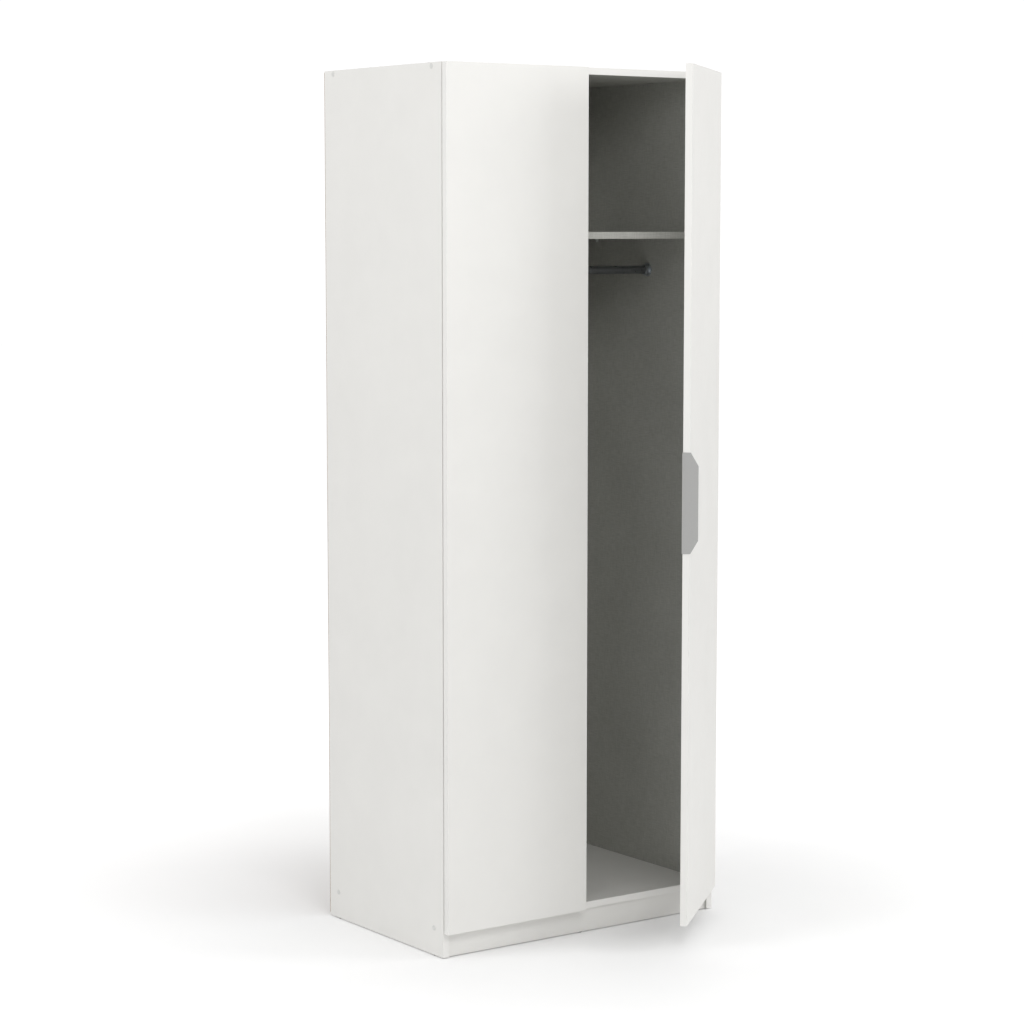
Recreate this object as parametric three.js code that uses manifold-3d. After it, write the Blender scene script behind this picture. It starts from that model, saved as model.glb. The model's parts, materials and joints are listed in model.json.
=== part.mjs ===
// A two-door wardrobe in white melamine board with a hat shelf and a hanging rail.
// Millimetres, +Z up, +X to the right, the doors face -Y.
// The origin is on the floor, under the middle of the front plinth.
// The left door is shut and the right door stands open.

import * as THREE from 'three';
import { mergeVertices } from 'three/addons/utils/BufferGeometryUtils.js';
import Module from 'manifold-3d';

const wasm = await Module();
wasm.setup();

// ---------- driving dimensions ----------
const WIDTH = 795;
const HEIGHT = 2030;
const BOARD = 16;                 // thickness of every melamine board
const GAP = 0.25;                 // fitting gap between two boards
const GLIDE_HEIGHT = 2;
const DOOR_GAP = 2;               // between the shut doors and the carcass
const DOOR_REVEAL = 1.5;          // side face of the carcass to the door's outer edge
const DOOR_CENTRE_GAP = 3;        // between the two shut doors
const DOOR_BOTTOM = 59;
const PLINTH_TOP = 57.3;
const PLINTH_SETBACK = 6;         // from the front edges of the sides
const SHELF_TOP = 1654;
const SHELF_SETBACK = 25;
const SHELF_REAR_GAP = 6;         // between the shelf and the back sheets
const BACK_SHEET = 3;
const CARCASS_DEPTH = 489;
const OPEN_ANGLE = THREE.MathUtils.degToRad(40.7);

const FRONT = -BOARD / 2 - PLINTH_SETBACK;     // front edges of the sides
const REAR = FRONT + CARCASS_DEPTH;            // rear edges of the boards
const DOOR_INNER = FRONT - DOOR_GAP;
const DOOR_OUTER = DOOR_INNER - BOARD;
const HALF = WIDTH / 2;
const INSIDE = HALF - BOARD;                   // inner face of a side
const BOTTOM_TOP = PLINTH_TOP + GAP + BOARD;   // upper face of the bottom board
const TOP_UNDER = HEIGHT - BOARD;              // lower face of the top board
const SHEET_FRONT = REAR + 0.1;
const SHEET_REAR = SHEET_FRONT + BACK_SHEET;
const SHEET_BOTTOM = 8;
const SHEET_TOP = HEIGHT - 3;
const SHEET_JOIN = 1.3;                        // half the gap between the two back sheets
const SHEET_EDGE = HALF - 1;
const STRIP = { web: 1, webProud: 0.5, flange: 9, sheet: 0.85, clearance: 0.15, endGap: 3 };

const DOOR_EDGE = HALF - DOOR_REVEAL;
const DOOR_MIDDLE_EDGE = DOOR_CENTRE_GAP / 2;
const PIVOT_X = DOOR_EDGE - 5;
const PIVOT_Y = DOOR_OUTER + 3;

// fasteners and glides
const SCREW_DEPTHS = { front: FRONT + 38, back: REAR - 38 };
const SCREW_HEIGHTS = { lower: PLINTH_TOP + GAP + BOARD / 2, upper: HEIGHT - BOARD / 2 };
const BACK_PLINTH_MIDDLE = REAR - BOARD / 2;
const CONFIRMAT = { length: 50, radius: 3.5, hole: 3.8, head: 5, headHole: 5.3, headDepth: 3, point: 4 };
const CONFIRMAT_HOLE_DEPTH = 38;               // into the end of the top or bottom board
const CAP = { radius: 6, thickness: 0.8 };
const GLIDE = { radius: 7.4, pin: 1.3, pinTop: 13, hole: 1.6, chamfer: 0.6 };
const TOUCH = 0.1;                             // gap between pieces that bear on each other
const GLIDE_DEPTHS = { front: FRONT + 40, back: REAR - 40 };

// angles that tie the wardrobe to a wall
const WALL_BRACKET_X = 240;
const BRACKET = { width: 30, leg: 28, sheet: 2, screwHole: 2.3, wallHole: 3, sheetHole: 4 };
const BRACKET_SCREW_Y = REAR - BRACKET.leg / 2 - BRACKET.sheet;
const WALL_HOLE_Z = TOP_UNDER - BRACKET.leg / 2 - BRACKET.sheet;

// hanging rail
const RAIL = { y: 232, z: 1561, radius: 10, wall: 1, seat: 3 };
const RAIL_BRACKET = {
  radius: 17, sheet: 2.4, clearance: 0.4, ring: 2.6, taper: 0.4, reach: 13, screwHole: 2.3,
};

// shelf supports
const SUPPORT_DEPTHS = { front: SHELF_SETBACK + FRONT + 40, back: 436 };
const SHELF_UNDER = SHELF_TOP - BOARD;
const PEG_HEIGHT = SHELF_UNDER - 6;
const SUPPORT = { width: 9, drop: 11, reach: 9, leg: 2.2, peg: 2.5, pegLength: 9, gusset: 0.8, pegHole: 2.8 };

// concealed hinges
const HINGE_HEIGHTS = { lower: 165, middle: 1044, upper: 1924 };
const CUP = { offset: 21.5, radius: 17.5, wall: 1.2, depth: 11.5, flangeHeight: 62, flange: 1 };
const CUP_SCREW_PITCH = 48;
const CUP_FLANGE = { width: 26, corner: 7, back: 2, screwBack: 5, screwHole: 1.9 };
const POCKET = { radius: CUP.radius + 0.3, depth: CUP.depth + 0.3 };
const PLATE_MIDDLE = FRONT + 37;
const PLATE = {
  width: 18, height: 50, corner: 8, sheet: 2, ridge: 5, ridgeFront: 24, ridgeRear: 20, screwHole: 2.9,
};
const PLATE_SCREW_PITCH = 32;
const ARM_PIVOT = { x: HALF - 31, y: FRONT - 5.5 };
const ARM_SCREW_Y = PLATE_MIDDLE + 4;
const ARM = {
  inside: 5.6, sheet: 1.2, crown: HALF - 34.4, rear: PLATE_MIDDLE + 24, nose: 3.4, pin: 1.4,
  foot: INSIDE - 4.5, crownFront: FRONT + 3, footFront: FRONT + 12, screwHole: 2.3,
};
// the links' centreline from the arm's pin: a bowed curve to an end inside the cup
const LINK = {
  bend: { x: 18.9, y: -9.2 }, end: { x: 20.2, y: -2.2 },
  sheet: 1.6, half: 4.8, roll: 2.9, tip: 1.1, pinHole: 1.7,
};
const LINK_RATIO = -0.37;         // turn of the hinge links for each turn of their door

// handle
const HANDLE = {
  low: 925.5, high: 1157.3, proud: 20, chamferOut: 18, chamferUp: 31, sheet: 1.5,
  leg: 26, legShort: 12, screws: [965, 1041, 1117], screwHole: 1.9,
};

// the shut right door, measured from its hinge axis
const DOOR_BOX = {
  edge: DOOR_EDGE - PIVOT_X,
  middle: DOOR_MIDDLE_EDGE - PIVOT_X,
  outer: DOOR_OUTER - PIVOT_Y,
  inner: DOOR_INNER - PIVOT_Y,
};
const CUP_X = DOOR_BOX.edge - CUP.offset;
const CUP_SCREW_X = CUP_X - CUP_FLANGE.screwBack;
const HANDLE_SCREW_X = DOOR_BOX.middle + 0.6 * HANDLE.leg;

// ---------- finishes ----------
function finish(color, roughness, metalness) {
  return () => new THREE.MeshStandardMaterial({ color, roughness, metalness });
}
const whiteBoard = finish(0xf1f1ec, 0.45, 0);
const linenBoard = finish(0xd2d2cd, 0.6, 0);
const whitePlastic = finish(0xedede8, 0.4, 0);
const clearPlastic = finish(0xc9cbc9, 0.3, 0);
const greyPlate = finish(0xa9aaac, 0.4, 0.3);
const darkSteel = finish(0x6d7074, 0.35, 0.9);
const zinc = finish(0xb4b6b8, 0.35, 0.9);
const nickel = finish(0xc4c5c6, 0.25, 1);
const blackPlastic = finish(0x333436, 0.6, 0);

// ---------- solids ----------
// sides of a round, by its size
const SMALL = 8;
const MEDIUM = 12;
const LARGE = 24;
const CUP_SIDES = 16;

function toSolid(geometry) {
  const bare = geometry.clone();
  bare.deleteAttribute('normal');
  bare.deleteAttribute('uv');
  const merged = mergeVertices(bare, 1e-4);
  return new wasm.Manifold(new wasm.Mesh({
    numProp: 3,
    vertProperties: new Float32Array(merged.attributes.position.array),
    triVerts: new Uint32Array(merged.index.array),
  }));
}

// side -1 gives the mirror image in X, with its triangles turned round to face outwards again.
function toGeometry(solid, side = 1) {
  const mesh = solid.getMesh();
  const geometry = new THREE.BufferGeometry();
  const corners = Uint32Array.from(mesh.triVerts);
  geometry.setAttribute('position', new THREE.BufferAttribute(mesh.vertProperties, 3));
  geometry.setIndex(new THREE.BufferAttribute(side < 0 ? corners.reverse() : corners, 1));
  return geometry.scale(side, 1, 1);
}

function join(solids) {
  return solids.reduce((all, next) => all.add(next));
}

function cut(solid, tools) {
  return tools.length ? solid.subtract(join(tools)) : solid;
}

function box(x0, x1, y0, y1, z0, z1) {
  const [xa, xb] = [Math.min(x0, x1), Math.max(x0, x1)];
  const geometry = new THREE.BoxGeometry(xb - xa, y1 - y0, z1 - z0);
  return toSolid(geometry.translate((xa + xb) / 2, (y0 + y1) / 2, (z0 + z1) / 2));
}

// A solid of revolution along X from a list of [radius, distance] points, heading in direction side.
function turnedX(profile, x, y, z, side = 1, segments = MEDIUM) {
  const points = profile.map(([r, d]) => new THREE.Vector2(r, d));
  const geometry = new THREE.LatheGeometry(points, segments);
  geometry.rotateZ(side > 0 ? -Math.PI / 2 : Math.PI / 2);
  return toSolid(geometry.translate(x, y, z));
}

// The same along Y, heading in direction side.
function turnedY(profile, x, y, z, side = 1, segments = MEDIUM) {
  const points = profile.map(([r, d]) => new THREE.Vector2(r, d));
  const geometry = new THREE.LatheGeometry(points, segments).rotateX(side > 0 ? 0 : Math.PI);
  return toSolid(geometry.translate(x, y, z));
}

// The same straight up, along Z.
function turnedZ(profile, x, y, z, segments = MEDIUM) {
  const points = profile.map(([r, d]) => new THREE.Vector2(r, d));
  const geometry = new THREE.LatheGeometry(points, segments).rotateX(Math.PI / 2);
  return toSolid(geometry.translate(x, y, z));
}

const rod = (radius, length) => [[0, 0], [radius, 0], [radius, length], [0, length]];
const WIDE = 1;                   // how far a cutting tool reaches past a surface
const BELOW_AND_ABOVE = [-0.5, 0.5];
const EITHER_SIDE = [-1, 1];

// An outline in the XY plane raised from z0 to z1.
function slab(shape, z0, z1, curveSegments = 4) {
  const geometry = new THREE.ExtrudeGeometry(shape, { depth: z1 - z0, bevelEnabled: false, curveSegments });
  return toSolid(geometry.translate(0, 0, z0));
}

function roundedOutline(width, height, corner) {
  const [w, h] = [width / 2 - corner, height / 2 - corner];
  const shape = new THREE.Shape();
  shape.absarc(w, h, corner, 0, Math.PI / 2);
  shape.absarc(-w, h, corner, Math.PI / 2, Math.PI);
  shape.absarc(-w, -h, corner, Math.PI, 1.5 * Math.PI);
  shape.absarc(w, -h, corner, 1.5 * Math.PI, 2 * Math.PI);
  return shape;
}

// An outline across Y and Z, its first axis along Y, as thick as x0 to x1.
function plateX(shape, x0, x1, y, z) {
  const options = { depth: x1 - x0, bevelEnabled: false, curveSegments: 2 };
  const geometry = new THREE.ExtrudeGeometry(shape, options);
  return toSolid(geometry.rotateX(Math.PI / 2).rotateZ(Math.PI / 2).translate(x0, y, z));
}

// An outline across X and Z, as thick as y0 to y1.
function plateY(shape, y0, y1, x, z) {
  const options = { depth: y1 - y0, bevelEnabled: false, curveSegments: 2 };
  const geometry = new THREE.ExtrudeGeometry(shape, options);
  return toSolid(geometry.rotateX(Math.PI / 2).translate(x, y1, z));
}

const wardrobe = new THREE.Group();

function addNode(parent, name, solid, material, side = 1) {
  const mesh = new THREE.Mesh(toGeometry(solid, side), material());
  mesh.name = name;
  parent.add(mesh);
}

// ---------- carcass boards ----------
// Handed pieces are built for the right side and mirrored for the left one.
function sidePanel() {
  const { head, headHole, headDepth, hole } = CONFIRMAT;
  const screwHole = [
    [0, -WIDE], [headHole, -WIDE], [headHole, headDepth],
    [hole, headDepth + headHole - head + 1], [hole, BOARD + WIDE], [0, BOARD + WIDE],
  ];
  const holes = Object.values(SCREW_HEIGHTS).flatMap((z) => Object.values(SCREW_DEPTHS)
    .map((y) => turnedX(screwHole, HALF, y, z, -1)));
  for (const y of Object.values(SUPPORT_DEPTHS)) {
    const pegHole = rod(SUPPORT.pegHole, SUPPORT.pegLength + 2 * WIDE);
    holes.push(turnedX(pegHole, INSIDE - WIDE, y, PEG_HEIGHT, 1, SMALL));
  }
  for (const y of Object.values(GLIDE_DEPTHS)) {
    holes.push(turnedZ(rod(GLIDE.hole, GLIDE.pinTop), HALF - BOARD / 2, y, GLIDE_HEIGHT - WIDE, SMALL));
  }
  return cut(box(INSIDE, HALF, FRONT, REAR, GLIDE_HEIGHT, HEIGHT), holes);
}

function betweenSides(yFront, yRear, z0, z1) {
  return box(-(INSIDE - GAP), INSIDE - GAP, yFront, yRear, z0, z1);
}

// The top or the bottom board, with holes in its ends for the connecting screws.
function levelBoard(z) {
  const holes = EITHER_SIDE.flatMap((side) => Object.values(SCREW_DEPTHS)
    .map((y) => turnedX(rod(CONFIRMAT.hole, CONFIRMAT_HOLE_DEPTH), side * INSIDE, y, z, -side)));
  return cut(betweenSides(FRONT, REAR, z - BOARD / 2, z + BOARD / 2), holes);
}

function plinth(middle) {
  const hole = turnedZ(rod(GLIDE.hole, GLIDE.pinTop), 0, middle, GLIDE_HEIGHT - WIDE, SMALL);
  return cut(betweenSides(middle - BOARD / 2, middle + BOARD / 2, GLIDE_HEIGHT, PLINTH_TOP), [hole]);
}

function hatShelf() {
  return betweenSides(FRONT + SHELF_SETBACK, REAR - SHELF_REAR_GAP, SHELF_UNDER, SHELF_TOP);
}

// ---------- back ----------
function backSheet() {
  const sheet = box(SHEET_JOIN, SHEET_EDGE, SHEET_FRONT, SHEET_REAR, SHEET_BOTTOM, SHEET_TOP);
  const hole = rod(BRACKET.sheetHole, BACK_SHEET + 2 * WIDE);
  return cut(sheet, [turnedY(hole, WALL_BRACKET_X, SHEET_FRONT - WIDE, WALL_HOLE_Z)]);
}

// The strip is an H in section: a web between the two sheets and a flange on each face.
function backStrip() {
  const { web, webProud, flange, sheet, clearance, endGap } = STRIP;
  const [low, high] = [BOTTOM_TOP + endGap, TOP_UNDER - endGap];
  const [front, rear] = [SHEET_FRONT - clearance, SHEET_REAR + clearance];
  return join([
    box(-web, web, SHEET_FRONT - webProud, SHEET_REAR + webProud, low, high),
    box(-flange, flange, front - sheet, front, low, high),
    box(-flange, flange, rear, rear + sheet, low, high),
  ]);
}

// An angle that holds the top of the wardrobe to a wall, with a hole for the wall screw.
function wallBracket() {
  const [x0, x1] = [WALL_BRACKET_X - BRACKET.width / 2, WALL_BRACKET_X + BRACKET.width / 2];
  const zTop = TOP_UNDER - TOUCH;
  const yBack = SHEET_FRONT - STRIP.clearance;
  const flat = box(x0, x1, yBack - BRACKET.leg, yBack, zTop - BRACKET.sheet, zTop);
  const upright = box(x0, x1, yBack - BRACKET.sheet, yBack, zTop - BRACKET.leg, zTop);
  return cut(flat.add(upright), [
    turnedZ(rod(BRACKET.screwHole, 4), WALL_BRACKET_X, BRACKET_SCREW_Y, zTop - 3, SMALL),
    turnedY(rod(BRACKET.wallHole, 4), WALL_BRACKET_X, yBack + WIDE, WALL_HOLE_Z, -1, SMALL),
  ]);
}

// ---------- connecting screws and glides ----------
// A countersunk one-piece connector through the side into a board's end, under its pressed-in cap.
function cornerScrew(y, z) {
  const { length, radius, head, headDepth, point } = CONFIRMAT;
  const profile = [
    [0, -CAP.thickness], [CAP.radius - 0.5, -CAP.thickness], [CAP.radius, -TOUCH], [head, -TOUCH],
    [head, headDepth - 1], [radius, headDepth + 0.8], [radius, length - point], [1.5, length], [0, length],
  ];
  return turnedX(profile, HALF, y, z, -1);
}

function glide(x, y) {
  const { radius, pin, pinTop, chamfer } = GLIDE;
  const top = GLIDE_HEIGHT - TOUCH;
  const profile = [
    [0, 0], [radius - chamfer, 0], [radius, chamfer], [radius, top],
    [pin, top], [pin, pinTop], [0, pinTop + pin / 2],
  ];
  return turnedZ(profile, x, y, 0);
}

// ---------- hanging rail ----------
// A round flange screwed to the side through its middle, with a socket for the rail's end.
function railBracket() {
  const { radius, sheet, clearance, ring, taper, reach, screwHole } = RAIL_BRACKET;
  const seat = RAIL.radius + clearance;
  const profile = [
    [screwHole, 0], [radius, 0], [radius, sheet], [seat + ring, sheet],
    [seat + ring - taper, reach], [seat, reach], [seat, sheet], [screwHole, sheet], [screwHole, 0],
  ];
  return turnedX(profile, INSIDE - TOUCH, RAIL.y, RAIL.z, -1, LARGE);
}

function hangingRail() {
  const half = INSIDE - RAIL.seat;
  const inner = RAIL.radius - RAIL.wall;
  const profile = [[inner, -half], [RAIL.radius, -half], [RAIL.radius, half], [inner, half], [inner, -half]];
  return turnedX(profile, 0, RAIL.y, RAIL.z, 1, LARGE);
}

// ---------- shelf supports ----------
// A peg in the side and a small gusseted ledge under the shelf.
function shelfSupport(y) {
  const { width, drop, reach, leg, gusset, peg, pegLength } = SUPPORT;
  const top = SHELF_UNDER - TOUCH;
  const wall = INSIDE - TOUCH;
  const upright = box(wall - leg, wall, y - width / 2, y + width / 2, top - drop, top);
  const ledge = box(wall - reach, wall, y - width / 2, y + width / 2, top - leg, top);
  const outline = new THREE.Shape();
  outline.moveTo(wall, top - 0.5).lineTo(wall - reach + 1, top - 0.5).lineTo(wall, top - drop + 1);
  const web = plateY(outline, y - gusset, y + gusset, 0, 0);
  const pin = turnedX(rod(peg, pegLength + WIDE), wall - WIDE, y, PEG_HEIGHT, 1, SMALL);
  return join([upright, ledge, web, pin]);
}

// ---------- concealed hinges: the half on the carcass ----------
function hingePlate(z) {
  const { width, height, corner, sheet, ridge, ridgeFront, ridgeRear, screwHole } = PLATE;
  const wall = INSIDE - TOUCH;
  const wings = plateX(roundedOutline(width, height, corner), wall - sheet, wall, PLATE_MIDDLE, z);
  const rib = box(wall - ridge, wall, PLATE_MIDDLE - ridgeFront, PLATE_MIDDLE + ridgeRear, z - 5, z + 5);
  const holes = BELOW_AND_ABOVE.map((k) => turnedX(
    rod(screwHole, 4), wall + WIDE, PLATE_MIDDLE, z + k * PLATE_SCREW_PITCH, -1, SMALL));
  holes.push(turnedX(rod(ARM.screwHole, 8), wall + WIDE, ARM_SCREW_Y, z, -1, SMALL));
  return cut(wings.add(rib), holes);
}

// The arm is a folded channel over the plate's ridge, with two cheeks that carry the link's pin.
function hingeArm(z) {
  const { crown, crownFront, foot, footFront, nose, rear, sheet, inside, pin, screwHole } = ARM;
  const cheek = new THREE.Shape();
  cheek.moveTo(crown, rear);
  cheek.lineTo(crown, crownFront);
  cheek.absarc(ARM_PIVOT.x, ARM_PIVOT.y, nose, Math.PI, 2 * Math.PI);
  cheek.lineTo(foot, footFront);
  cheek.lineTo(foot, rear);
  const low = slab(cheek, z - inside - sheet, z - inside);
  const high = slab(cheek, z + inside, z + inside + sheet);
  const top = box(crown, crown + sheet, crownFront, rear, z - inside - 0.4, z + inside + 0.4);
  const pivot = turnedZ(rod(pin, 2 * inside + 1.6), ARM_PIVOT.x, ARM_PIVOT.y, z - inside - 0.8, SMALL);
  const hole = turnedX(rod(screwHole, 4), crown - WIDE, ARM_SCREW_Y, z, 1, SMALL);
  return cut(join([low, high, top, pivot]), [hole]);
}

// A strip of even thickness along a curve, as an outline.
function stripOutline(curve, thickness, steps) {
  const near = [];
  const far = [];
  for (let i = 0; i <= steps; i += 1) {
    const point = curve.getPoint(i / steps);
    const along = curve.getTangent(i / steps);
    const across = new THREE.Vector2(-along.y, along.x).multiplyScalar(thickness / 2);
    near.push(point.clone().sub(across));
    far.unshift(point.clone().add(across));
  }
  return new THREE.Shape([...near, ...far]);
}

// A bowed link, rolled round the arm's pin at one end and reaching into the cup with the other.
function hingeLink(z) {
  const { bend, end, sheet, half, roll, tip, pinHole } = LINK;
  const curve = new THREE.QuadraticBezierCurve(
    new THREE.Vector2(0, 0), new THREE.Vector2(bend.x, bend.y), new THREE.Vector2(end.x, end.y));
  return join([
    slab(stripOutline(curve, sheet, 6), z - half, z + half),
    turnedZ(rod(tip, 2 * half), end.x, end.y, z - half, SMALL),
    turnedZ(rod(roll, 2 * half), 0, 0, z - half),
  ]).subtract(turnedZ(rod(pinHole, 2 * (half + WIDE)), 0, 0, z - half - WIDE, SMALL));
}

// ---------- doors ----------
// A shut door, measured from its hinge axis, with a pocket for each hinge cup.
function doorPanel() {
  const { edge, middle, outer, inner } = DOOR_BOX;
  const pockets = Object.values(HINGE_HEIGHTS).map((z) => turnedY(
    rod(POCKET.radius, POCKET.depth + WIDE), CUP_X, inner + WIDE, z, -1, CUP_SIDES));
  return cut(box(middle, edge, outer, inner, DOOR_BOTTOM, HEIGHT), pockets);
}

// A bowl with a rim and a screw flange above and below it.
function hingeCup(z) {
  const { radius, wall, depth, flange, flangeHeight } = CUP;
  const face = DOOR_BOX.inner + TOUCH;
  const profile = [[0, 0.3], [radius, 0.3], [radius, depth + 0.4], [radius - wall, depth + 0.4],
    [radius - wall, 1.4], [0, 1.4]];
  const bowl = turnedY(profile, CUP_X, DOOR_BOX.inner - depth, z, 1, CUP_SIDES);
  const outline = roundedOutline(CUP_FLANGE.width, flangeHeight, CUP_FLANGE.corner);
  const plate = plateY(outline, face, face + flange, CUP_X - CUP_FLANGE.back, z);
  const rim = turnedY(rod(radius, flange), CUP_X, face, z, 1, CUP_SIDES);
  const mouth = turnedY(rod(radius - wall, 4), CUP_X, face - WIDE, z, 1, CUP_SIDES);
  const screwHoles = BELOW_AND_ABOVE.map((k) => turnedY(
    rod(CUP_FLANGE.screwHole, 4), CUP_SCREW_X, face - WIDE, z + k * CUP_SCREW_PITCH, 1, SMALL));
  return bowl.add(cut(plate.add(rim), [mouth, ...screwHoles]));
}

// A bent plate: a leg screwed to the door's inner face, a web along the free edge, and a grip with
// slanted corners that stands proud of the outer face.
function doorHandle() {
  const { low, high, proud, chamferOut, chamferUp, sheet, leg, legShort, screws, screwHole } = HANDLE;
  const tip = DOOR_BOX.outer - proud;
  const root = DOOR_BOX.inner + TOUCH + sheet;
  const edge = DOOR_BOX.middle - TOUCH;
  const outline = new THREE.Shape();
  outline.moveTo(root, low).lineTo(root, high).lineTo(tip + chamferOut, high).lineTo(tip, high - chamferUp);
  outline.lineTo(tip, low + chamferUp).lineTo(tip + chamferOut, low);
  const web = plateX(outline, edge - sheet, edge, 0, 0);
  const back = box(edge - sheet, DOOR_BOX.middle + leg, root - sheet, root, low + legShort, high - legShort);
  const holes = screws.map((z) => turnedY(
    rod(screwHole, 4), HANDLE_SCREW_X, DOOR_BOX.inner - WIDE, z, 1, SMALL));
  return cut(web.add(back), holes);
}

// ---------- assembly ----------
addNode(wardrobe, 'top_panel', levelBoard(SCREW_HEIGHTS.upper), whiteBoard);
addNode(wardrobe, 'bottom_panel', levelBoard(SCREW_HEIGHTS.lower), whiteBoard);
addNode(wardrobe, 'plinth_front', plinth(0), whiteBoard);
addNode(wardrobe, 'plinth_back', plinth(BACK_PLINTH_MIDDLE), whiteBoard);
addNode(wardrobe, 'hat_shelf', hatShelf(), linenBoard);
addNode(wardrobe, 'back_joining_strip', backStrip(), whitePlastic);
addNode(wardrobe, 'glide_middle_front', glide(0, 0), blackPlastic);
addNode(wardrobe, 'glide_middle_back', glide(0, BACK_PLINTH_MIDDLE), blackPlastic);
addNode(wardrobe, 'hanging_rail', hangingRail(), darkSteel);

for (const [name, side] of [['left', -1], ['right', 1]]) {
  addNode(wardrobe, `side_panel_${name}`, sidePanel(), whiteBoard, side);
  addNode(wardrobe, `back_sheet_${name}`, backSheet(), linenBoard, side);
  addNode(wardrobe, `wall_bracket_${name}`, wallBracket(), zinc, side);
  addNode(wardrobe, `rail_bracket_${name}`, railBracket(), darkSteel, side);
  for (const end of ['front', 'back']) {
    addNode(wardrobe, `shelf_support_${name}_${end}`, shelfSupport(SUPPORT_DEPTHS[end]), clearPlastic, side);
    addNode(wardrobe, `glide_${name}_${end}`, glide(HALF - BOARD / 2, GLIDE_DEPTHS[end]), blackPlastic, side);
    for (const [level, z] of Object.entries(SCREW_HEIGHTS)) {
      const screw = cornerScrew(SCREW_DEPTHS[end], z);
      addNode(wardrobe, `corner_screw_${name}_${end}_${level}`, screw, whitePlastic, side);
    }
  }

  const angle = side > 0 ? OPEN_ANGLE : 0;
  const links = new THREE.Group();
  links.position.set(side * ARM_PIVOT.x, ARM_PIVOT.y, 0);
  links.rotation.z = LINK_RATIO * angle;
  const door = new THREE.Group();
  door.position.set(side * PIVOT_X, PIVOT_Y, 0);
  door.rotation.z = angle;
  wardrobe.add(links, door);

  addNode(door, `door_${name}`, doorPanel(), whiteBoard, side);
  for (const [level, z] of Object.entries(HINGE_HEIGHTS)) {
    addNode(wardrobe, `hinge_plate_${name}_${level}`, hingePlate(z), nickel, side);
    addNode(wardrobe, `hinge_arm_${name}_${level}`, hingeArm(z), nickel, side);
    addNode(links, `hinge_link_${name}_${level}`, hingeLink(z), nickel, side);
    addNode(door, `hinge_cup_${name}_${level}`, hingeCup(z), nickel, side);
  }
  if (side > 0) addNode(door, 'handle', doorHandle(), greyPlate);
}

export default wardrobe;
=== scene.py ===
"""A tall white wardrobe with doors, a hat shelf and a hanging rail: its looks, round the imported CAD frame.

Metres, +Z up, +X to the wardrobe's right, the doors face -Y. The left door is shut and the right one is open.
"""
import json
import math

import bmesh
import bpy
from mathutils import Matrix, Vector


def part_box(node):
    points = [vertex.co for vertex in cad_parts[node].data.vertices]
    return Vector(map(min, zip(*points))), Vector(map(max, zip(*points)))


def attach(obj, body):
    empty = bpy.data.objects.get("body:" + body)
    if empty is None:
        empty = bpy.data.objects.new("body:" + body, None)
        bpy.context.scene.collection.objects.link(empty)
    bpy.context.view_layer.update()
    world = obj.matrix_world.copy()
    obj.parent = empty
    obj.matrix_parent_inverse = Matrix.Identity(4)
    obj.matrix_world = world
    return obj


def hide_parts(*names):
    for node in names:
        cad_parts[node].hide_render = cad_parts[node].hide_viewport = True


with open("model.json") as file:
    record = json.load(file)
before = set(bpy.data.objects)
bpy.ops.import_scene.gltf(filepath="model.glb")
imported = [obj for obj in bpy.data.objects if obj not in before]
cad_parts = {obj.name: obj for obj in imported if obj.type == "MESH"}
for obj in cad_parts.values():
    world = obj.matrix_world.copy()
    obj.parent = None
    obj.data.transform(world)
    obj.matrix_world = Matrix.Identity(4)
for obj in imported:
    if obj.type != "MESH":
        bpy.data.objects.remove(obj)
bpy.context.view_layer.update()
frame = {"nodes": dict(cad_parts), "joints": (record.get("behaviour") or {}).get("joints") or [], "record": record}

MM = 0.001
SIDES = {"left": -1, "right": 1}
ENDS = ("front", "back")
SCREW_LEVELS = ("lower", "upper")
HINGE_LEVELS = ("lower", "middle", "upper")
JOINTS = {joint["child"]: joint for joint in frame["joints"]}


# ---------- camera ----------
CAMERA_PLACE = (-3.7894, -5.0304, 1.6727)
CAMERA_TILT, CAMERA_HEADING = 83.93, -35.55    # degrees
CAMERA_LENS, CAMERA_SENSOR = 95.24, 36         # millimetres
FAR_CLIP = 100


def add_camera():
    """A long lens, a little above the middle of the wardrobe, that sees its left side and its front."""
    data = bpy.data.cameras.new("camera")
    data.lens = CAMERA_LENS
    data.sensor_width = CAMERA_SENSOR
    data.clip_end = FAR_CLIP
    camera = bpy.data.objects.new("camera", data)
    camera.location = CAMERA_PLACE
    camera.rotation_euler = (math.radians(CAMERA_TILT), 0, math.radians(CAMERA_HEADING))
    bpy.context.scene.collection.objects.link(camera)
    bpy.context.scene.camera = camera


# ---------- where things are ----------
def middle(node):
    low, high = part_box(node)
    return (low + high) / 2


def mirror(side):
    """Carcass pieces are built for the right side. This matrix puts one on either side."""
    return Matrix.Diagonal((side, 1, 1, 1))


def door_frame(name):
    """The matrix from a shut right door, measured from its hinge axis, to the door as it stands."""
    joint = JOINTS[f"door_{name}"]
    x, y, _ = joint["pos_m"]
    angle = math.radians(-joint["range_deg"][0])    # a door's range starts where it is shut
    return mirror(SIDES[name]) @ Matrix.Translation((abs(x), y, 0)) @ Matrix.Rotation(angle, 4, "Z")


def door_box(name):
    """The lowest and highest corner of a door in its own shut frame."""
    to_shut = door_frame(name).inverted()
    corners = [to_shut @ v.co for v in frame["nodes"][f"door_{name}"].data.vertices]
    low = Vector(min(c[i] for c in corners) for i in range(3))
    high = Vector(max(c[i] for c in corners) for i in range(3))
    return low, high


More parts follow.
